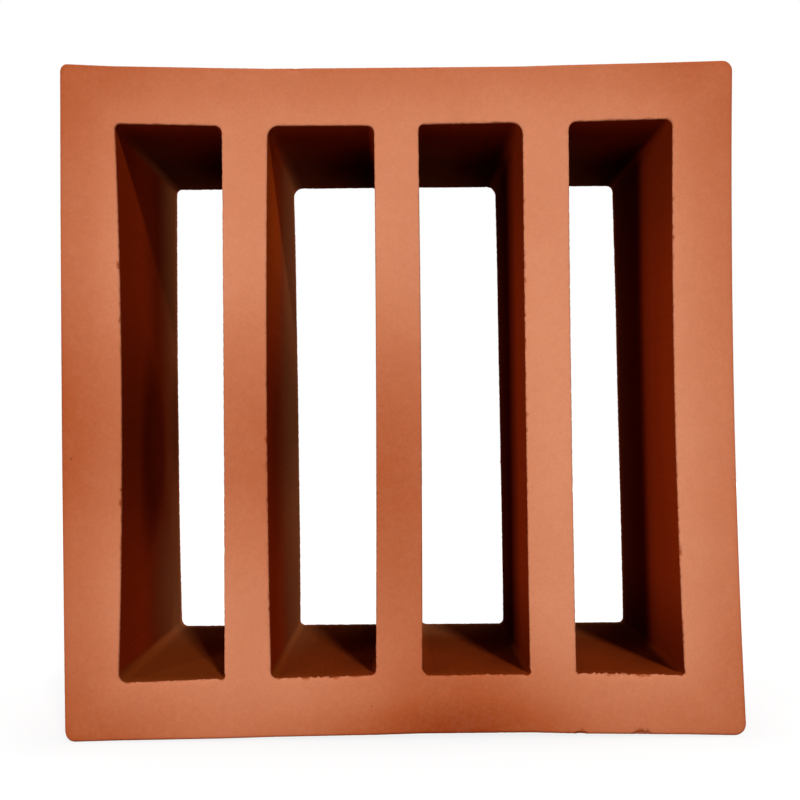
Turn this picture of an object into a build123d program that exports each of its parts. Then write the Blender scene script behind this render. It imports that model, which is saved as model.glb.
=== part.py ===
from build123d import *
import os

# A terracotta breeze block: one piece of fired clay with a row of upright slots
# right through it, laid in open screen walls to let light and air pass.
# It stands on its bed face as laid. X runs along the wall, Y through the wall
# with the front face at -Y, and Z up. The origin is the middle of the bed.

# Driving dimensions, in millimetres
face_width = 190.0
face_height = 190.0
wall_depth = 90.0

# Solid clay beside the outer slots, and above and below all of them
jamb_width = 17.0
rail_height = 17.0

# The upright bars stand between the slots
slot_count = 4
bar_thickness = 12.5

# The die rounds the outer corners of the clay and the corners of each slot
outer_corner_radius = 3.5
slot_corner_radius = 2.5

# The wire that cuts the clay to length leaves these edges nearly sharp
arris_radius = 0.5

# Sizes that follow from them
bar_count = slot_count - 1
slots_span = face_width - 2 * jamb_width
slot_width = (slots_span - bar_count * bar_thickness) / slot_count
slot_pitch = slot_width + bar_thickness
slot_height = face_height - 2 * rail_height
section_plane = Plane(
    origin=(0, 0, face_height / 2),
    x_dir=(1, 0, 0),
    z_dir=(0, -1, 0),
)

# The section is the shape of the die, and the clay is pushed through it along Y
with BuildPart() as breeze_block:
    with BuildSketch(section_plane):
        RectangleRounded(face_width, face_height, outer_corner_radius)
        with GridLocations(slot_pitch, 0, slot_count, 1):
            RectangleRounded(
                slot_width,
                slot_height,
                slot_corner_radius,
                mode=Mode.SUBTRACT,
            )
    extrude(amount=wall_depth / 2, both=True)

    # Ease every edge of the two cut faces, round the outside and round each slot
    cut_faces = breeze_block.faces().filter_by(Axis.Y)
    fillet(cut_faces.edges(), radius=arris_radius)

breeze_block.part.label = "breeze_block"

os.makedirs("parts", exist_ok=True)
export_step(breeze_block.part, "parts/breeze_block.step")

print("slot", round(slot_width, 3), "by", slot_height, "mm")
print("clay volume", round(breeze_block.part.volume / 1e6, 4), "litres")
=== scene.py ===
# %% [markdown]
# # A terracotta screen block
# The real block is one piece of clay. It was pushed through a die like paste, cut to
# length with a wire, dried and fired. That tells us how to model it: draw the shape of
# the die once, push it back through the wall's depth, ease the cut edges, and then let
# the kiln warp it a little. The solid model gives the true size, so we load it first
# and measure it.

# %% Load the frame
import math

import bmesh
import bpy
from mathutils import Matrix, Vector, noise


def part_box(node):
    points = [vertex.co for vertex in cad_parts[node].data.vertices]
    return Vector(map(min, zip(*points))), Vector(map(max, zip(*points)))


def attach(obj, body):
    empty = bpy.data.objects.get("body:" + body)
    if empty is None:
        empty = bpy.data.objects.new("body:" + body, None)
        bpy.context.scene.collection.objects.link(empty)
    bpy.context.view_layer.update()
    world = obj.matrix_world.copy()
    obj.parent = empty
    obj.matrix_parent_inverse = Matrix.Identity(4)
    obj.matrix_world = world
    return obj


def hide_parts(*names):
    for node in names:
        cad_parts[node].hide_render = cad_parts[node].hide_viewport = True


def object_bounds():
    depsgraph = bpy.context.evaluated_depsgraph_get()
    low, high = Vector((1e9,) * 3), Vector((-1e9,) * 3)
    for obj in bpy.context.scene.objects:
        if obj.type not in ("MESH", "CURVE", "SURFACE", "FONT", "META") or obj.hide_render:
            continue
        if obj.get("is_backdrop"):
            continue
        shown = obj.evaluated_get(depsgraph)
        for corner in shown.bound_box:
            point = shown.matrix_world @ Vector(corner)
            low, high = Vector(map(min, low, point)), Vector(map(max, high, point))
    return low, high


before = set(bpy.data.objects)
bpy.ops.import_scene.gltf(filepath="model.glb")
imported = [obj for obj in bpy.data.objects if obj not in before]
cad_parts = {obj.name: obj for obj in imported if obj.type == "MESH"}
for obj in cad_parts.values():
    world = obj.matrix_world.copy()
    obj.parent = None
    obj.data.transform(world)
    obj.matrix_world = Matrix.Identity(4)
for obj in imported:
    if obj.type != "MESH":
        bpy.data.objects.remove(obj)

MM = 0.001
cad_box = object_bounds()
low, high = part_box("breeze_block")
face_width = high.x - low.x
face_height = high.z - low.z
wall_depth = high.y - low.y
middle_height = (low.z + high.z) / 2
print("block", [round(side / MM, 2) for side in (face_width, wall_depth, face_height)], "mm")

# %% [markdown]
# ## The shape of the die
# The section has a rounded outer line and four rounded slots. Each line starts as a
# one-cell grid. Bevelling a corner point rounds it, and because the die is worn, every
# corner has a radius of its own. The long sides are then cut into short steps, because
# the chips along the edges need points to move.

# %% Sizes of the section
jamb_width = 17 * MM
rail_height = 17 * MM
bar_thickness = 12.5 * MM
slot_count = 4
edge_step = 0.68 * MM
corner_segments = 6

# Corner radii in mm: foot left, foot right, head left, head right
outer_radii = (3.2, 3.5, 2.3, 3.0)
slot_radii = [
    (2.4, 1.6, 1.7, 2.0),
    (1.7, 1.8, 3.1, 2.0),
    (2.4, 1.7, 1.6, 3.1),
    (1.5, 1.8, 2.2, 2.1),
]

slots_span = face_width - 2 * jamb_width
slot_width = (slots_span - (slot_count - 1) * bar_thickness) / slot_count
slot_pitch = slot_width + bar_thickness
slot_height = face_height - 2 * rail_height
slot_centres = [(i - (slot_count - 1) / 2) * slot_pitch for i in range(slot_count)]
print("slot", round(slot_width / MM, 3), "by", round(slot_height / MM, 1), "mm")


# %% Draw the lines of the die
def rounded_line(bm, width, height, radii, across):
    """Adds a rounded rectangle that stands in the front face's plane."""
    made = bmesh.ops.create_grid(bm, x_segments=1, y_segments=1, size=0.5)
    corners = made["verts"]
    bmesh.ops.scale(bm, vec=(width, height, 1), verts=corners)
    upright = Matrix.Rotation(math.radians(90), 3, "X")
    bmesh.ops.rotate(bm, verts=corners, cent=(0, 0, 0), matrix=upright)
    bmesh.ops.translate(bm, verts=corners, vec=(across, low.y, middle_height))
    corners.sort(key=lambda point: (point.co.z > middle_height, point.co.x > across))
    for corner, radius in zip(corners, radii):
        bmesh.ops.bevel(
            bm, geom=[corner], offset=radius * MM, segments=corner_segments,
            profile=0.5, affect="VERTICES", material=-1,
        )


block = bmesh.new()
rounded_line(block, face_width, face_height, outer_radii, 0)
for centre, radii in zip(slot_centres, slot_radii):
    rounded_line(block, slot_width, slot_height, radii, centre)

for edge in [e for e in block.edges if e.calc_length() > 1.5 * edge_step]:
    cuts = round(edge.calc_length() / edge_step) - 1
    bmesh.ops.subdivide_edges(block, edges=[edge], cuts=cuts)
bmesh.ops.delete(block, geom=block.faces[:], context="FACES_ONLY")
print("lines of the die", len(block.edges), "short edges")

# %% [markdown]
# ## From line to solid
# One fill makes the face with its four holes. Two insets give it neat rings of
# four-sided faces along every edge, which keeps the bevel even. Extruding that face
# to the back gives the whole block as a closed solid. Planes that cut across the walls
# add rows of points, close together near the cut edges and far apart between them.

# %% Fill and ring
ring_widths = (1.0 * MM, 1.2 * MM)
bmesh.ops.triangle_fill(block, edges=block.edges[:], use_beauty=True, normal=(0, -1, 0))
inner_faces = block.faces[:]
for ring_width in ring_widths:
    ring = bmesh.ops.inset_region(
        block, faces=inner_faces, thickness=ring_width,
        use_boundary=True, use_even_offset=True,
    )
    ring_faces = set(ring["faces"])
    inner_faces = [face for face in inner_faces if face not in ring_faces]
print("the face", len(block.faces), "faces,", len(inner_faces), "of them inside the rings")

# %% Push it through the wall
pushed = bmesh.ops.extrude_face_region(block, geom=block.faces[:], use_keep_orig=True)
back_points = [item for item in pushed["geom"] if isinstance(item, bmesh.types.BMVert)]
bmesh.ops.translate(block, verts=back_points, vec=(0, wall_depth, 0))
bmesh.ops.recalc_face_normals(block, faces=block.faces[:])
print("solid", round(block.calc_volume() * 1000, 4), "litres")

# %% Rows of points through the depth
plane_tolerance = 0.0001 * MM
front_rows = [depth * MM for depth in (1.0, 1.9, 3.5, 8.0, 24.0)]
back_rows = [wall_depth - depth for depth in front_rows]
for depth in front_rows + [wall_depth / 2] + back_rows:
    bmesh.ops.bisect_plane(
        block, geom=block.verts[:] + block.edges[:] + block.faces[:],
        dist=plane_tolerance, plane_co=(0, low.y + depth, 0), plane_no=(0, 1, 0),
    )
print("after the rows", len(block.verts), "points")

# %% [markdown]
# ## How far is a point from the clay's edge?
# Edges, crumbs and colours all need to know how near a point is to a cut edge.
# The distance to a rounded rectangle is a short formula, and the clay's outline is five
# of them. One radius for all the slots' corners is near enough here.

# %% Distance to the outline of the section
rim_radius = 3.5 * MM
slot_radius = 1.5 * MM


def outside_rounded(x, z, half_width, half_height, radius):
    """Distance outside a rounded rectangle; below zero inside it."""
    over_x = abs(x) - half_width + radius
    over_z = abs(z) - half_height + radius
    corner = math.hypot(max(over_x, 0), max(over_z, 0))
    return corner + min(max(over_x, over_z), 0) - radius


def clay_beside(point):
    """In the face's plane, how far a point in the clay is from the outer side, and how
    far from the nearest slot."""
    x, z = point.x, point.z - middle_height
    to_rim = -outside_rounded(x, z, face_width / 2, face_height / 2, rim_radius)
    to_slot = min(
        outside_rounded(x - centre, z, slot_width / 2, slot_height / 2, slot_radius)
        for centre in slot_centres
    )
    return to_rim, to_slot


def behind_cut_face(point):
    return min(point.y - low.y, high.y - point.y)


half_bar = clay_beside(Vector((0, 0, middle_height)))[1]
print("the middle of a bar is", round(half_bar / MM, 2), "mm from the slots")

# %% [markdown]
# ## Edges left by the wire
# The wire leaves the edges of the two cut faces nearly sharp, and handling wears the
# outer ones a little rounder than those of the slots. A bevel of under a millimetre is
# enough to catch the light as the real edge does.

# %% Ease the cut edges
rim_arris = 0.8 * MM
slot_arris = 0.4 * MM
arris_segments = 3
hairbreadth = 0.001 * MM
sharp = math.radians(60)


def cut_edges(bm, of_a_slot):
    """The edges where a cut face meets the outer side, or the walls of the slots."""
    found = []
    for edge in bm.edges:
        ends = [point.co for point in edge.verts]
        on_the_cut = max(behind_cut_face(end) for end in ends) < hairbreadth
        if on_the_cut and edge.calc_face_angle(0) > sharp:
            to_rim, to_slot = clay_beside(ends[0])
            if (to_slot < to_rim) == of_a_slot:
                found.append(edge)
    return found


for radius, of_a_slot in ((rim_arris, False), (slot_arris, True)):
    eased = cut_edges(block, of_a_slot)
    bmesh.ops.bevel(
        block, geom=eased, offset=radius, segments=arris_segments, profile=0.5,
        affect="EDGES", material=-1, clamp_overlap=True,
    )
    print("eased", len(eased), "edges by", radius / MM, "mm")

# %% [markdown]
# ## Crumbled edges
# The wire pulls crumbs out of soft clay where it leaves it, so the cut edges are ragged:
# by a tenth of a millimetre along the slots, and by up to three quarters of a millimetre
# where the wire tore. Noise moves each point near an edge into the clay, and a list says
# where most. All the points round an edge move the same way, slanting in from both its
# sides, so the edge is notched and never folded. At the slots' feet some torn clay
# stands up as a burr.

# %% How far the crumbs go
crumble_reach = 1.5 * MM
rim_crumbs = 0.05 * MM
slot_crumbs = 0.15 * MM
coarse_crumbs = 0.45 * MM
crumb_length = 1.7 * MM
crumb_falloff = 1.3
burr_height = 0.8 * MM
burr_length = 1.3 * MM
burr_reach = 1.2 * MM
slot_foot = low.z + rail_height
print("crumbs reach", round(crumble_reach / MM, 2), "mm from an edge")

# %% Where the wire tore
# Stretches of the front: middle and reach, across and up in mm, and strength
torn_stretches = [
    ((-63, 17), (17, 4), 1.2),
    ((-21, 17), (17, 4), 2.2),
    ((21, 17), (17, 4), 1.1),
    ((62, 17), (18, 4), 2.0),
    ((-63, 173), (16, 4), 0.6),
    ((21, 173), (16, 4), 0.6),
    ((64, 173), (15, 4), 0.5),
    ((-78, 66), (4, 22), 1.1),
    ((-78, 130), (4, 26), 1.0),
    ((-36, 70), (4, 50), 0.5),
    ((-6, 60), (4, 40), 0.4),
    ((36, 115), (4, 60), 0.9),
    ((78, 55), (4, 40), 0.9),
    ((78, 135), (4, 34), 0.9),
    ((30, 0), (60, 4), 0.4),
    ((-20, 190), (50, 4), 0.2),
]
print(len(torn_stretches), "torn stretches on the front")

# %% How badly, and which way
back_tears = 1.2
back_tear_length = 24 * MM


def torn(point):
    """How badly the wire tore this place; the back has its own pattern."""
    if point.y > 0:
        return back_tears * max(0, noise.noise(point / back_tear_length))
    return sum(
        strength * max(0, 1 - math.hypot(
            (point.x / MM - middle[0]) / reach[0], (point.z / MM - middle[1]) / reach[1]
        ) ** 2)
        for middle, reach, strength in torn_stretches
    )


def into_clay(point):
    """The way into the clay from the nearest cut edge, slanting in from both its sides."""
    step = 0.05 * MM
    shifts = ((0, 0, 0), (step, 0, 0), (0, 0, step))
    here, right, above = (min(clay_beside(point + Vector(shift))) for shift in shifts)
    inwards = Vector((right - here, 0, above - here)).normalized()
    return (inwards + Vector((0, 1 if point.y < 0 else -1, 0))).normalized()


# %% Crumble the edges
moves = []
for point in block.verts:
    to_rim, to_slot = clay_beside(point.co)
    from_edge = math.hypot(max(min(to_rim, to_slot), 0), behind_cut_face(point.co))
    if from_edge > crumble_reach:
        continue
    near = (1 - from_edge / crumble_reach) ** crumb_falloff
    by_a_slot = to_slot < to_rim
    # The last three: how fast the detail fades, how its size steps down, and the steps
    crumbs = abs(noise.fractal(point.co / crumb_length, 0.8, 2.1, 3))
    everywhere = slot_crumbs if by_a_slot else rim_crumbs
    amount = crumbs * (2 * everywhere + coarse_crumbs * torn(point.co))
    at_foot = max(1 - abs(point.co.z - slot_foot) / burr_reach, 0) if by_a_slot else 0
    burr = max(noise.noise(point.co / burr_length), 0) * burr_height * torn(point.co) * at_foot
    moves.append((point, into_clay(point.co) * amount * near + Vector((0, 0, burr * near))))
for point, move in moves:
    point.co += move
longest = max(move.length for point, move in moves)
print("crumbled", len(moves), "points, by up to", round(longest / MM, 2), "mm")

# %% [markdown]
# ## Chips
# The larger chips have places of their own. Each is a ball of air at an edge, and the
# points inside it are pushed out to its surface, so the chip is a clean scoop. A ball
# that is long in the depth of the wall takes the rounding out of a slot's corner.

# %% Where the chips are
# Middle of each scoop and its half sizes, in millimetres; the front is at y = -45
chips = [
    ((64.2, -45.5, -0.5), (1.5, 1.5, 1.7)),
    ((65.6, -45.5, -0.5), (1.6, 1.5, 1.9)),
    ((67.0, -45.5, -0.5), (1.5, 1.5, 1.8)),
    ((49.2, -45.2, 0.0), (1.8, 1.6, 1.0)),
    ((77.5, -45.5, 51.5), (1.3, 1.4, 1.6)),
    ((77.5, -45.5, 139.6), (1.2, 1.4, 1.3)),
    ((-77.6, -45.5, 66.7), (1.1, 1.4, 1.3)),
    ((-77.6, -45.5, 132.9), (1.2, 1.4, 1.6)),
    ((-35.5, -45.4, 84.0), (0.9, 1.2, 1.3)),
    ((35.4, -45.4, 128.0), (1.1, 1.2, 1.5)),
    ((35.4, -45.4, 111.0), (1.0, 1.2, 1.1)),
    ((35.4, -45.4, 90.0), (1.0, 1.2, 1.4)),
    ((-26.0, -45.5, 17.6), (1.6, 1.6, 1.4)),
    ((-17.5, -45.5, 17.7), (1.2, 1.6, 1.5)),
    ((-12.5, -45.5, 17.7), (1.0, 1.6, 1.3)),
    ((58.5, -45.5, 17.7), (1.1, 1.6, 1.0)),
    ((61.5, -45.5, 17.7), (0.9, 1.6, 1.0)),
    ((66.0, -45.5, 17.7), (1.4, 1.6, 0.9)),
    ((-28.0, -45.3, 190.1), (3.0, 1.3, 1.1)),
    ((9.0, -45.3, 190.1), (2.4, 1.2, 1.0)),
    ((77.0, -45.5, 18.0), (1.2, 6.0, 1.2)),
    ((35.0, -45.5, 17.9), (1.2, 6.0, 1.2)),
    ((-49.3, -45.5, 17.9), (1.2, 5.0, 1.2)),
    ((49.3, -45.5, 17.9), (1.1, 5.0, 1.1)),
    ((-95.6, 45.6, 31.0), (1.9, 1.7, 2.4)),
    ((60.0, 45.7, 190.7), (2.8, 1.6, 1.6)),
    ((95.5, 45.6, 120.0), (1.4, 1.5, 2.0)),
    ((-20.0, 45.5, 17.4), (1.6, 1.5, 1.2)),
    ((36.2, 45.5, 75.0), (1.2, 1.4, 1.7)),
]
print(len(chips), "scoops")

# %% Scoop out the chips
largest_reach = 8 * MM
chip_grain = 0.9 * MM
chip_roughness = 0.16
scooped = set()
for middle, half_sizes in chips:
    centre = Vector(middle) * MM
    sizes = Vector(half_sizes) * MM
    for number, point in enumerate(block.verts):
        offset = point.co - centre
        if max(abs(offset.x), abs(offset.y), abs(offset.z)) > largest_reach:
            continue
        away = Vector([offset[k] / sizes[k] for k in range(3)])
        rough = 1 + chip_roughness * noise.noise(point.co / chip_grain)
        if 0 < away.length < rough:
            away = away.normalized() * rough
            point.co = centre + Vector([away[k] * sizes[k] for k in range(3)])
            scooped.add(number)
print("chips moved", len(scooped), "points")

# %% [markdown]
# ## Telling the surfaces apart
# The wire opens the grain of the clay on the two cut faces. The other surfaces slid
# along the die, which closes them. The walls of the slots are a deeper red, partly the
# clay's own colour and partly painted shade for the hollow. The outer edges of the cut
# faces are a little darker, and the chips are painted darker as painted shade in their
# scoops. Four numbers on each point carry that to the material, the last for the walls
# that face left. They are worked out now, while every side is still straight.

# %% Numbers on the points
skin_start = 0.15 * MM
skin_fade = 0.9 * MM
dark_rim_reach = 1.4 * MM
# The chips' scoops are painted darker: painted shade
chip_painted_shade = 1.6


def smooth_step(value):
    value = min(max(value, 0), 1)
    return value * value * (3 - 2 * value)


block.normal_update()
die_skin = block.verts.layers.float.new("die_skin")
slot_wall = block.verts.layers.float.new("slot_wall")
darkened_edge = block.verts.layers.float.new("darkened_edge")
faces_left = block.verts.layers.float.new("faces_left")
for number, point in enumerate(block.verts):
    to_rim, to_slot = clay_beside(point.co)
    behind = behind_cut_face(point.co)
    skin = smooth_step((behind - skin_start) / skin_fade)
    point[die_skin] = skin
    point[slot_wall] = skin if to_slot < to_rim else 0.0
    dark_rim_share = smooth_step(1 - math.hypot(max(to_rim, 0), behind) / dark_rim_reach)
    point[darkened_edge] = chip_painted_shade if number in scooped else dark_rim_share
    point[faces_left] = max(-point.normal.x, 0)
print("four numbers on each of", len(block.verts), "points")

# %% [markdown]
# ## What the kiln did
# Clay shrinks as it dries and fires, and it never does so evenly. The middle of each
# side pulls in more than the corners, the bars wander, and the whole block leans a
# little. So that the parts of the block can be placed one by one, the moves are a table:
# one row for each upright line of the die, with what happened to it. Between the rows
# the moves are blended, so nothing tears.

# %% The table of moves
# All in millimetres. Each row: the line's place across the block; how far it moved to
# the right on the front, at the foot, the middle and the head; the same on the back; and
# how far the front moved up at the bed, the slots' feet, the slots' heads and the top
kiln_moves = [
    (-95.0, (1.2, 0.3, 0.0), (1.0, 0.4, 0.0), (0.0, -0.4, -0.8, -0.6)),
    (-78.0, (-1.55, 0.2, -2.4), (1.0, -0.3, -0.3), (0.3, -0.8, -0.8, -1.4)),
    (-48.4, (-1.3, -1.1, -1.3), (0.4, -0.4, -1.2), (0.6, 0.15, -1.7, -2.2)),
    (-35.9, (-0.4, -1.5, -0.5), (0.2, -0.2, -1.5), (0.9, 0.05, -1.8, -2.5)),
    (-6.2, (-1.6, -0.7, -0.7), (0.1, -0.7, -1.5), (1.2, 0.7, -2.0, -2.5)),
    (6.2, (-1.1, -0.5, -0.8), (0.0, -0.8, -1.6), (1.5, 0.5, -1.8, -2.5)),
    (35.9, (-0.6, -1.1, -1.0), (-0.7, -1.1, -2.0), (1.5, 0.6, -1.5, -2.5)),
    (48.4, (-0.2, -0.8, -0.5), (-0.4, -1.2, -2.0), (1.1, 0.8, -1.4, -2.2)),
    (78.0, (0.7, -1.7, -0.7), (-0.7, -1.5, -2.8), (0.6, 0.0, -0.8, -1.7)),
    (95.0, (0.0, -2.0, -1.0), (-0.7, -1.6, -2.3), (0.2, 0.0, -1.0, -1.3)),
]

# Heights of the bed, the slots' feet, their heads and the top, and half of the side
levels = [0, 17, 173, 190]
half_side = 95
# How far the slots' feet and heads moved up on the back
back_feet, back_heads = 0.7, -1.7
print(len(kiln_moves), "upright lines to place")


# %% Between the rows of the table
def blend(first, second, share):
    return first + (second - first) * share


def through_three(foot, middle, head, up):
    """The curve through three moves, for up from -1 at the bed to 1 at the top."""
    return foot * up * (up - 1) / 2 + middle * (1 - up * up) + head * up * (up + 1) / 2


def on_levels(values, height):
    for k in range(3):
        if height <= levels[k + 1] or k == 2:
            share = (height - levels[k]) / (levels[k + 1] - levels[k])
            return blend(values[k], values[k + 1], share)


print("half way up, the curve through 0, 1 and 0 is at", through_three(0, 1, 0, 0))

# %% Warp the block
wave_height = 0.3 * MM
wave_length = 50 * MM
# The noise vector starts from the clock unless it gets a seed
wave_seed = 114
noise.seed_set(wave_seed)
dip_depth = 0.22 * MM
dip_length = 30 * MM


def fired(place):
    """Where the kiln leaves a point of the green clay."""
    across, height = place.x / MM, (place.z - low.z) / MM
    up = height / half_side - 1
    back = (place.y - low.y) / wall_depth
    k = 0
    while k < len(kiln_moves) - 2 and across > kiln_moves[k + 1][0]:
        k += 1
    row, after = kiln_moves[k], kiln_moves[k + 1]
    share = (across - row[0]) / (after[0] - row[0])
    front_right = blend(through_three(*row[1], up), through_three(*after[1], up), share)
    back_right = blend(through_three(*row[2], up), through_three(*after[2], up), share)
    front_up = blend(on_levels(row[3], height), on_levels(after[3], height), share)
    ends = [blend(row[3][j], after[3][j], share) for j in (0, 3)]
    back_up = on_levels((ends[0], back_feet, back_heads, ends[1]), height)
    moved = place.copy()
    moved.x += blend(front_right, back_right, back) * MM
    moved.z += blend(front_up, back_up, back) * MM
    # The waves fade out close to the four outer sides, so that these stay straight
    inner = (1 - min(abs(across) / half_side, 1) ** 6) * (1 - min(abs(up), 1) ** 6)
    waves = noise.noise_vector(place / wave_length) * wave_height * inner * back
    moved += Vector((waves.x, 0, waves.z))
    dip = dip_depth * (0.5 + 0.5 * noise.noise(place / dip_length))
    moved.y += dip * (1 - 2 * back)
    return moved


for point in block.verts:
    point.co = fired(point.co)
spans = [[point.co[axis] for point in block.verts] for axis in range(3)]
print("fired block spans", [(round(min(s) / MM, 2), round(max(s) / MM, 2)) for s in spans], "mm")

# %% The mesh and its object
mesh = bpy.data.meshes.new("fired_block")
for face in block.faces:
    face.smooth = True
block.to_mesh(mesh)
block.free()
fired_block = bpy.data.objects.new("fired_block", mesh)
bpy.context.scene.collection.objects.link(fired_block)
triangles = sum(len(face.vertices) - 2 for face in mesh.polygons)
print("fired block", triangles, "triangles")

# %% [markdown]
# ## A kit for clay
# The material is built from a few kinds of node, so each gets a short helper. All the
# patterns read Object coordinates, which are metres here: a pattern of a given size
# gets a scale of one over that size. The helpers put their nodes where the names nodes
# and links point, first at the clay's tree, and later at the floor's and the world's.

# %% A tree of nodes
clay = bpy.data.materials.new("fired_clay")
clay.use_nodes = True
nodes, links = clay.node_tree.nodes, clay.node_tree.links
nodes.clear()


def node(kind, **values):
    made = nodes.new(kind)
    for name, value in values.items():
        setattr(made, name, value)
    return made


def feed(socket, value):
    """Links an output to a socket, or sets the socket's own value."""
    if isinstance(value, bpy.types.NodeSocket):
        links.new(value, socket)
    else:
        socket.default_value = value


print("the clay's tree is ready")


# %% Sums with nodes
def maths(operation, first, second=0.0):
    made = node("ShaderNodeMath", operation=operation)
    feed(made.inputs[0], first)
    feed(made.inputs[1], second)
    return made.outputs[0]


def product(*factors):
    total = factors[0]
    for factor in factors[1:]:
        total = maths("MULTIPLY", total, factor)
    return total


def highest(*values):
    total = values[0]
    for value in values[1:]:
        total = maths("MAXIMUM", total, value)
    return total


def less(value):
    """What is left of one."""
    return maths("SUBTRACT", 1.0, value)


def ramp(value, start, end, to_start=0.0, to_end=1.0):
    """Zero below start, one above end, and smooth between."""
    made = node("ShaderNodeMapRange", interpolation_type="SMOOTHSTEP")
    feed(made.inputs["Value"], value)
    made.inputs["From Min"].default_value = start
    made.inputs["From Max"].default_value = end
    made.inputs["To Min"].default_value = to_start
    made.inputs["To Max"].default_value = to_end
    return made.outputs["Result"]


# %% Patterns with nodes
def attribute(name):
    made = node("ShaderNodeAttribute", attribute_type="GEOMETRY", attribute_name=name)
    return made.outputs["Fac"]


def stretched(vector, scale, location=(0, 0, 0)):
    made = node("ShaderNodeMapping")
    feed(made.inputs["Vector"], vector)
    made.inputs["Location"].default_value = location
    made.inputs["Scale"].default_value = scale
    return made.outputs["Vector"]


def cloud(vector, scale, detail=2.0, roughness=0.5, distortion=0.0):
    made = node("ShaderNodeTexNoise")
    feed(made.inputs["Vector"], vector)
    made.inputs["Scale"].default_value = scale
    made.inputs["Detail"].default_value = detail
    made.inputs["Roughness"].default_value = roughness
    made.inputs["Distortion"].default_value = distortion
    return made.outputs["Fac"]


def length_of(vector):
    made = node("ShaderNodeVectorMath", operation="LENGTH")
    feed(made.inputs[0], vector)
    return made.outputs["Value"]


# %% Colours with nodes
def srgb(red, green, blue):
    """A colour from 0 to 255 as a screen shows it, as the linear colour a shader needs."""
    channels = [c / 255 for c in (red, green, blue)]
    linear = [c / 12.92 if c <= 0.04045 else ((c + 0.055) / 1.055) ** 2.4 for c in channels]
    return (*linear, 1)


# ShaderNodeMix has one set of sockets for each kind of data, so the colour sockets are
# found by their place
def mixed(factor, first, second):
    made = node("ShaderNodeMix", data_type="RGBA")
    feed(made.inputs[0], factor)
    feed(made.inputs[6], first)
    feed(made.inputs[7], second)
    return made.outputs[2]


def brightened(tint, factor):
    made = node("ShaderNodeVectorMath", operation="SCALE")
    feed(made.inputs[0], tint)
    feed(made.inputs["Scale"], factor)
    return made.outputs["Vector"]


print("half grey on a screen is", round(srgb(128, 128, 128)[0], 3), "to a shader")

# %% What the clay's patterns read
place = node("ShaderNodeTexCoord").outputs["Object"]
skin = attribute("die_skin")
in_slot = attribute("slot_wall")
edge_darkness = attribute("darkened_edge")
facing_left = attribute("faces_left")


def soft_ball(middle, reach):
    """How far a point is from the middle of a ball given in mm: one at its surface."""
    scale = [1 / (r * MM) for r in reach]
    location = [-m * MM * k for m, k in zip(middle, scale)]
    return length_of(stretched(place, scale, location))


print("the clay reads its place and four numbers")

# %% [markdown]
# ## How hard the fire hit
# The clay fires to a warm orange-pink, and turns a deeper orange-brown where the flame
# was hotter. So the material first works out one number at every point, the heat, and
# only then turns it into a colour. The heat is a sum of soft patches, each a ball with
# its own place, reach and strength, a rim that is a little darker all round, darker outer
# edges, painted shade on the chips, and a weak cloudy pattern that keeps the rest from
# being even.

# %% The rim and the clouds
apart = node("ShaderNodeSeparateXYZ")
feed(apart.inputs[0], place)
from_middle_x = maths("ABSOLUTE", apart.outputs["X"])
from_middle_z = maths("ABSOLUTE", maths("SUBTRACT", apart.outputs["Z"], middle_height))
from_middle = highest(from_middle_x, from_middle_z)
towards_back = ramp(apart.outputs["Y"], -40 * MM, 40 * MM)

least_heat = 0.06
rim_start, rim_end = 74 * MM, 95 * MM
rim_darkening = 0.215
edge_darkening = 0.16
front_clouds, back_clouds = 0.22, 0.75
heat = maths("ADD", ramp(from_middle, rim_start, rim_end, 0, rim_darkening), least_heat)
clouds = maths("SUBTRACT", cloud(place, 34, 4, 0.55, 0.5), 0.5)
clouds = product(clouds, ramp(towards_back, 0, 1, front_clouds, back_clouds))
heat = maths("ADD", heat, clouds)
# Darker near the outer edges, and painted shade on the chips
heat = maths("ADD", heat, product(edge_darkness, edge_darkening))
print("the heat starts at", least_heat, "and the rim adds", rim_darkening)

# %% Kiln patches
# Middle and reach in millimetres, from the block's origin, and strength. The first
# fourteen are on the front, and the others on the sides, the back and the top. A patch
# below zero is a cooler one
kiln_patches = [
    ((12, -45, 2), (62, 60, 12), 0.26),
    ((3, -45, 58), (46, 60, 94), 0.39),
    ((-41, -45, 83), (77, 70, 53), 0.39),
    ((-91, -45, -11), (47, 60, 73), 0.38),
    ((-96, -45, 205), (52, 60, 98), 0.27),
    ((85, -45, 205), (34, 50, 110), 0.28),
    ((110, -45, -13), (53, 60, 62), 0.31),
    ((-33, -45, 182), (160, 50, 48), 0.10),
    ((-110, -45, 86), (58, 60, 80), 0.36),
    ((43, -45, 11), (52, 50, 28), 0.14),
    ((-28, -45, 7), (66, 50, 102), 0.07),
    ((20, -45, 7), (37, 50, 40), 0.28),
    ((42, -45, 80), (18, 40, 110), -0.06),
    ((-42, -45, 132), (15, 40, 42), 0.05),
    ((62, 50, 150), (60, 50, 70), 0.45),
    ((-70, 50, 28), (70, 50, 60), 0.50),
    ((98, 22, 60), (30, 50, 70), 0.45),
    ((-98, 25, 150), (30, 40, 60), 0.35),
    ((-28, 10, 195), (70, 45, 24), 0.45),
]
wavy_outline = product(clouds, 0.3)
for middle, reach, strength in kiln_patches:
    wavy = maths("ADD", soft_ball(middle, reach), wavy_outline)
    heat = maths("ADD", heat, ramp(wavy, 1, 0, 0, strength))
print(len(kiln_patches), "kiln patches")

# %% From heat to colour
fired_colours = node("ShaderNodeValToRGB")
feed(fired_colours.inputs["Fac"], heat)
stops = [
    (0.0, srgb(221, 141, 104)),
    (0.3, srgb(202, 117, 80)),
    (0.65, srgb(179, 88, 48)),
    (1.0, srgb(150, 58, 19)),
]
band = fired_colours.color_ramp
while len(band.elements) < len(stops):
    band.elements.new(0.5)
for element, (position, shade) in zip(band.elements, stops):
    element.position = position
    element.color = shade
colour = fired_colours.outputs["Color"]
print(len(stops), "colours from the coolest clay to the hottest")
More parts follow.
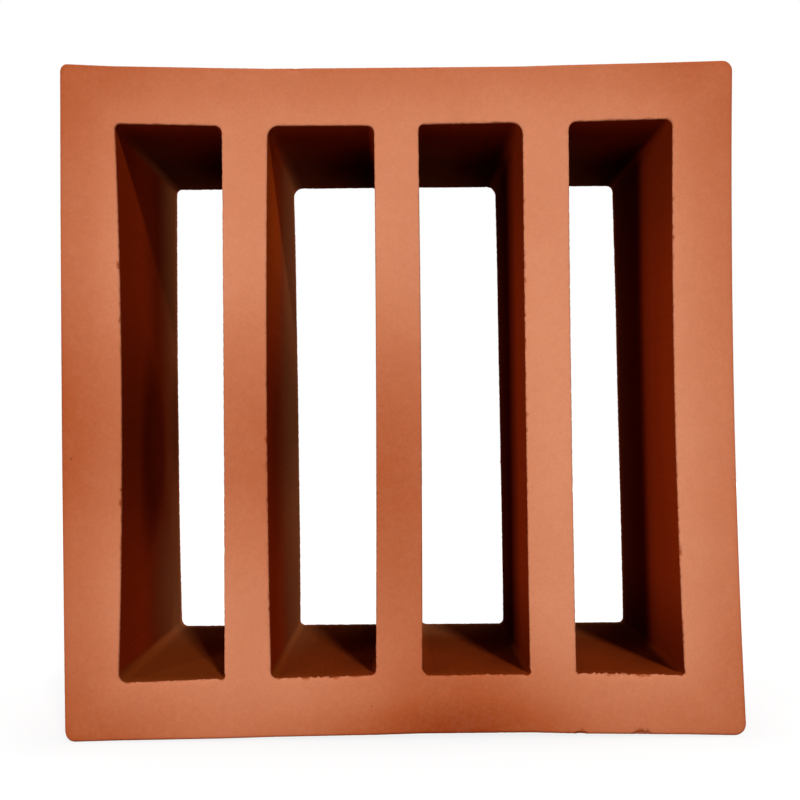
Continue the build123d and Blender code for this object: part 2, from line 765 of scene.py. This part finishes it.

# %% [markdown]
# ## The walls of the slots
# The walls of the slots are a deep brick red, partly the clay's own colour and partly
# painted shade for the hollow, with more painted shade deepest in the middle of the
# wall's depth. They are paler and browner on their floors, where dust lies, laid thicker
# in the slots on the left as painted light. Painted light also pales them near the back
# face and on parts of the ceilings, where light from behind falls. Painted shade lies
# under the ceilings, low down beside the walls that face left and on the floors beside
# them, and painted light and shade brighten or darken a few places. Each of these is a
# layer over the last: a mask says where, and a colour says what.
# of these is a layer over the last: a mask says where, and a colour says what.

# %% Where a point is in its slot
up = apart.outputs["Z"]
wander = 20 * MM
along = maths("ADD", apart.outputs["Y"], product(clouds, wander))

# How far a point is across its slot, from the side that faces right. The pattern is
# repeated from slot to slot. It starts a little inside the clay, where a leaning wall
# cannot reach the join
join_depth = 5 * MM
start = join_depth - slot_centres[0] + slot_width / 2
across = maths("FRACT", maths("DIVIDE", maths("ADD", apart.outputs["X"], start), slot_pitch))
across = maths("SUBTRACT", product(across, slot_pitch), join_depth)

on_floor = ramp(up, 20 * MM, 18.3 * MM)
on_ceiling = product(ramp(up, 169.4 * MM, 171.0 * MM), less(facing_left))
print("the pattern across the slots repeats every", round(slot_pitch / MM, 2), "mm")

# %% Red clay and its painted shade
# The red is partly the clay's own colour and partly painted shade for the hollow; the second
# colour is painted shade
slot_clay = srgb(162, 51, 12)
painted_slot_shade = srgb(86, 20, 4)


def patch(middle, reach, strength, core=0.2, outside=0.0):
    """A soft ball that has its full strength in its core, a share of its reach."""
    return ramp(soft_ball(middle, reach), 1.0, core, outside, strength)


# Painted shade: half way up on the left; deep in all the slots; the left walls of the
# first and second slot; and the right wall of the third
painted_shade = [
    patch((-60, 0, 86), (42, 130, 52), 0.7),
    patch((0, 20, 95), (900, 40, 900), 0.75, core=0.25),
    patch((-78, 2, 80), (14, 38, 52), 0.95, core=0.3),
    patch((-36, -14, 78), (10, 44, 42), 0.5, core=0.3),
    patch((35, 8, 95), (8, 34, 400), 0.8, core=0.3),
]
wall_colour = mixed(highest(*painted_shade), slot_clay, painted_slot_shade)
print(len(painted_shade), "shaded places in the slots")

# %% Dust on the floors, with painted light
dust_and_light_tone = srgb(150, 68, 24)
# Paler floors: partly dust, and partly painted light, laid thicker in the slots on the left
dust_and_light_mask = product(
    on_floor, ramp(apart.outputs["X"], 0, -60 * MM, 0.6, 0.95), less(facing_left),
)
wall_colour = mixed(dust_and_light_mask, wall_colour, dust_and_light_tone)
print("dust lies thickest in the slots on the left")

# %% Painted light near the back
painted_light_tone = srgb(160, 91, 53)
painted_light_red = srgb(192, 80, 20)
back_light_start = 8 * MM
# Painted light where light from behind falls: paler over the back of the walls, less under the
# ceilings and on walls that face left
painted_back_light = product(
    ramp(along, back_light_start, 44 * MM),
    ramp(up, 172 * MM, 168 * MM, 0.35, 0.9),
    less(product(facing_left, 0.6)),
    ramp(soft_ball((-78, 35, 86), (24, 70, 74)), 0.1, 1.0, 0.42, 1.0),
)
# More painted light on the second slot's left wall, low in the first slot, and on one side of
# the ceilings
second_wall = patch((-36, 50, 95), (14, 90, 200), 0.8)
first_foot = patch((-78, 48, 32), (20, 64, 46), 0.5)
ceiling_side = product(
    on_ceiling, ramp(across, 18 * MM, 6 * MM), ramp(along, -36 * MM, -10 * MM, 0, 0.45),
)
painted_light_places = highest(painted_back_light, second_wall, first_foot, ceiling_side)
wall_colour = mixed(painted_light_places, wall_colour, painted_light_tone)
# A painted highlight at the head of the second slot's left wall
second_head_light = patch((-36, -38, 143), (14, 42, 46), 0.75)
wall_colour = mixed(second_head_light, wall_colour, painted_light_red)
print("the walls pale over the last", round((high.y - back_light_start) / MM), "mm of their depth")

# %% Painted shade
# Painted shade: low and high on the walls that face left, on the floors beside them, and under
# the ceilings
painted_shade_dark = srgb(14, 3, 1)
near_left_facing_wall = ramp(across, 10 * MM, 27 * MM)
painted_shade_foot = product(facing_left, ramp(up, 46 * MM, 18 * MM, 0, 0.5))
painted_shade_head = product(facing_left, ramp(up, 120 * MM, 176 * MM, 0, 0.35))
painted_shadow_floor = product(
    on_floor,
    near_left_facing_wall,
    ramp(apart.outputs["X"], -50 * MM, -10 * MM),
    ramp(along, -40 * MM, -22 * MM, 0, 0.4),
)
under_ceiling = maths(
    "ADD",
    ramp(along, -44 * MM, -26 * MM, 0.10, 0.42),
    product(near_left_facing_wall, ramp(along, -36 * MM, -6 * MM, 0, 0.42)),
)
painted_shade_layer = highest(painted_shade_foot, painted_shade_head, painted_shadow_floor, product(on_ceiling, under_ceiling))
wall_colour = mixed(painted_shade_layer, wall_colour, painted_shade_dark)
print("soot lies under the ceilings and beside the walls that face left")

# %% Painted light and shade in the walls
# Painted light and shade: places where a wall is painted brighter or darker, middle and
# reach in mm, and how bright
painted_light_and_shade_places = [
    ((-36, 16, 152), (14, 80, 36), 1.42),
    ((-36, 10, 90), (14, 60, 34), 0.70),
    ((-78, 46, 88), (14, 24, 28), 0.62),
    ((78, -44, 95), (14, 26, 75), 1.18),
]
painted_light_and_shade = product(*[
    patch(middle, reach, brightness, core=0.3, outside=1.0)
    for middle, reach, brightness in painted_light_and_shade_places
])
colour = mixed(in_slot, colour, brightened(wall_colour, painted_light_and_shade))
print(len(painted_light_and_shade_places), "uneven places in the slots")

# %% [markdown]
# ## Grain and specks
# Close up, fired clay is faintly gritty, with a thin pale bloom of salts here and there
# and a few dark iron specks. The contrast is kept low, because from half a metre away
# the face looks smooth.

# %% Grain
fine_scale, coarse_scale = 1500, 380
fine_grain = cloud(place, fine_scale, 2, 0.6)
grain_tone = ramp(fine_grain, 0.25, 0.75, 0.972, 1.028)
coarse_grain = cloud(place, coarse_scale, 3, 0.65)
coarse_tone = ramp(coarse_grain, 0.25, 0.75, 0.98, 1.02)
# The drag lines are about a millimetre wide and a hundred long, through the wall
drag_lines = product(cloud(stretched(place, (900, 9, 900)), 1.0, 3, 0.6), skin)
drag_tone = ramp(drag_lines, 0.25, 0.75, 1.0, 0.93)
colour = brightened(colour, product(grain_tone, coarse_tone, drag_tone))
print("grain of", round(1000 / fine_scale, 1), "and", round(1000 / coarse_scale, 1), "mm")

# %% Pale bloom
salt = srgb(236, 190, 160)
fine_bloom = cloud(place, 620, 3, 0.7)
broad_bloom = cloud(place, 120, 3, 0.6)
bloom = maths("ADD", fine_bloom, product(broad_bloom, 0.8))
bloom = ramp(bloom, 0.80, 1.15, 0, 0.03)
bloom = maths("ADD", bloom, ramp(fine_grain, 0.35, 0.75, 0, 0.010))
bloom = product(bloom, less(in_slot))
colour = mixed(bloom, colour, salt)
print("bloom on the faces and sides, none in the slots")

# %% Iron specks
iron = srgb(120, 52, 26)
speck_scale = 150
largest_speck = 0.13
speck_cells = node("ShaderNodeTexVoronoi", feature="F1")
feed(speck_cells.inputs["Vector"], place)
speck_cells.inputs["Scale"].default_value = speck_scale
speck_size = ramp(cloud(place, 95, 2), 0.57, 0.80, 0.0, largest_speck)
specks = maths("LESS_THAN", speck_cells.outputs["Distance"], speck_size)
colour = mixed(product(specks, 0.5), colour, iron)
print("specks are at most", round(2000 * largest_speck / speck_scale, 1), "mm across")

# %% [markdown]
# ## Roughness and relief
# Unglazed clay has no shine, so its specular level is zero and it is rough all over. The
# die's skin carries faint drag lines that run through the wall, the way the clay was
# pushed. Bump gives what is too fine or too shallow for the mesh: grit, ripples, pits
# and those lines.

# %% Relief
grit = cloud(place, 1100, 3, 0.7)
ripples = cloud(place, 130, 3, 0.5)
relief = maths("ADD", product(grit, 0.10), product(ripples, 0.35))
relief = maths("ADD", relief, product(drag_lines, 0.30))
relief = maths("SUBTRACT", relief, product(specks, 0.25))

relief_height = 0.5 * MM
bump = node("ShaderNodeBump")
bump.inputs["Strength"].default_value = 0.6
bump.inputs["Distance"].default_value = relief_height
feed(bump.inputs["Height"], relief)
print("relief of up to", relief_height / MM, "mm")

# %% The shader
shader = node("ShaderNodeBsdfPrincipled")
feed(shader.inputs["Base Color"], colour)
feed(shader.inputs["Roughness"], ramp(coarse_grain, 0.2, 0.8, 0.80, 0.96))
feed(shader.inputs["Normal"], bump.outputs["Normal"])
shader.inputs["Specular IOR Level"].default_value = 0.0
surface = node("ShaderNodeOutputMaterial")
feed(surface.inputs["Surface"], shader.outputs["BSDF"])
mesh.materials.append(clay)
print("clay material", len(nodes), "nodes")

# %% [markdown]
# ## The block in the frame
# The finished mesh stands for the solid model's block and rides on its one body.

# %% Hand the piece to the frame
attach(fired_block, "root")
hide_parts("breeze_block")
print("the mesh stands for the solid block")

# %% [markdown]
# ## Floor and backdrop
# A pale floor takes the block's shadow. To the camera it glows a little, so that it
# reads as white without more light falling on the block, and the world does the same.
# Close to the block the glow is weaker, which paints a faint shade round its foot.

# %% The floor's shape
floor_size = 3.0
below_bed = 0.1 * MM
floor_mesh = bpy.data.meshes.new("floor")
floor_shape = bmesh.new()
bmesh.ops.create_grid(floor_shape, x_segments=1, y_segments=1, size=floor_size / 2)
bmesh.ops.translate(floor_shape, verts=floor_shape.verts[:], vec=(0, 0, -below_bed))
floor_shape.to_mesh(floor_mesh)
floor_shape.free()
floor = bpy.data.objects.new("floor", floor_mesh)
bpy.context.scene.collection.objects.link(floor)
floor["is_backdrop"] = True
print("floor", floor_size, "m square")

# %% The floor's paint
paint = bpy.data.materials.new("pale_floor")
paint.use_nodes = True
nodes, links = paint.node_tree.nodes, paint.node_tree.links
nodes.clear()


def seen_directly():
    """One for rays from the camera, or seen in gloss or through glass."""
    rays = node("ShaderNodeLightPath").outputs
    return highest(rays["Is Camera Ray"], rays["Is Glossy Ray"], rays["Is Transmission Ray"])


# The glow is a little weaker close to the block, as painted shade round its foot that
# also lets its real shadow show, and grows to white in two steps
floor_grey = 0.16
narrowing = 0.65
near_block, off_block, far_off = 0.055, 0.16, 0.9
floor_place = node("ShaderNodeTexCoord").outputs["Object"]
from_block = length_of(stretched(floor_place, (narrowing, 1, 1)))
first_step = ramp(from_block, near_block, off_block, 0.86, 0.955)
second_step = ramp(from_block, off_block, far_off, 0, 0.045)

matt = node("ShaderNodeBsdfDiffuse")
matt.inputs["Color"].default_value = (floor_grey, floor_grey, floor_grey, 1)
glow = node("ShaderNodeEmission")
feed(glow.inputs["Strength"], product(maths("ADD", first_step, second_step), seen_directly()))
both = node("ShaderNodeAddShader")
feed(both.inputs[0], matt.outputs["BSDF"])
feed(both.inputs[1], glow.outputs["Emission"])
surface = node("ShaderNodeOutputMaterial")
feed(surface.inputs["Surface"], both.outputs["Shader"])
floor_mesh.materials.append(paint)
print("floor paint", len(nodes), "nodes")

# %% The world
dim_room = 0.012
white = 1.0
world = bpy.data.worlds.new("studio")
bpy.context.scene.world = world
world.use_nodes = True
nodes, links = world.node_tree.nodes, world.node_tree.links
background = nodes["Background"]
background.inputs["Color"].default_value = (1, 1, 1, 1)
feed(background.inputs["Strength"], ramp(seen_directly(), 0, 1, dim_room, white))
print("the room lights the block at", dim_room, "and looks white")

# %% [markdown]
# ## Light
# The key lamp is high on the right and nearly in front, so it rakes the slots' floors
# and leaves their ceilings dark. A level lamp on the left lights the front half of the
# right-hand walls, up to a soft edge where the bars cut it off, and a weak one in front
# adds to the face alone. A lamp behind on the right gives the back halves of the
# left-hand walls a little light. The last four face the back, the sides and the top
# squarely, so they light those without getting into the slots.


# %% Lamps
def lamp(name, azimuth, elevation, distance, width, height, level):
    """A soft box. Azimuth is from straight in front, to the right; level is the share
    of full light that it gives a surface facing it."""
    data = bpy.data.lights.new(name, "AREA")
    data.shape = "RECTANGLE"
    data.size, data.size_y = width, height
    data.energy = level * math.pi ** 2 * distance ** 2
    turn, rise = math.radians(azimuth), math.radians(elevation)
    target = Vector((0, 0, middle_height))
    away = Vector((
        math.sin(turn) * math.cos(rise), -math.cos(turn) * math.cos(rise), math.sin(rise)
    ))
    made = bpy.data.objects.new(name, data)
    made.location = target + away * distance
    made.rotation_euler = away.to_track_quat("Z", "Y").to_euler()
    made.visible_camera = False
    bpy.context.scene.collection.objects.link(made)


lamp("key_lamp", 15.8, 32, 2.4, 0.18, 0.18, 0.49)
lamp("front_lamp", 0, 0, 2.4, 0.50, 0.30, 0.12)
lamp("left_lamp", -32, 2.5, 2.4, 0.24, 0.40, 0.425)
lamp("back_lamp", 154, 0, 1.8, 0.6, 0.18, 0.38)
lamp("behind_lamp", 180, 0, 2.4, 0.3, 0.16, 0.34)
lamp("right_lamp", 96, 8, 2.4, 0.4, 0.4, 0.36)
lamp("far_left_lamp", -96, 8, 2.4, 0.4, 0.4, 0.22)
lamp("top_lamp", 0, 90, 2.4, 0.3, 0.3, 0.36)
print(len(bpy.data.lights), "lamps")

# %% [markdown]
# ## Camera
# The photograph was taken close to the block, so its back looks much smaller than its
# front. The distance and the lens follow from how much smaller, and the camera stands a
# little below the middle and looks up by a degree and a half.

# %% Camera
image_side = 800
focal_pixels = 1206
sensor = 36.0
to_face = 335.6 * MM
off_centre = 0.25 * MM
below_middle = 9.6 * MM
camera_data = bpy.data.cameras.new("camera")
camera_data.sensor_width = sensor
camera_data.lens = focal_pixels * sensor / image_side
camera = bpy.data.objects.new("camera", camera_data)
bpy.context.scene.collection.objects.link(camera)
look_up = math.radians(1.466)
roll = math.radians(-0.5)
camera.matrix_world = (
    Matrix.Translation((-off_centre, low.y - to_face, middle_height - below_middle))
    @ Matrix.Rotation(math.radians(90) + look_up, 4, "X")
    @ Matrix.Rotation(roll, 4, "Z")
)
bpy.context.scene.camera = camera
bpy.context.scene.view_settings.view_transform = "Standard"
print("camera", round(to_face / MM), "mm from the face, lens", round(camera_data.lens, 1), "mm")

# %% Print the sizes
sizes = {
    "cad": [list(corner) for corner in cad_box],
    "visual": [list(corner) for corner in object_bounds()],
}
print("sizes", sizes)
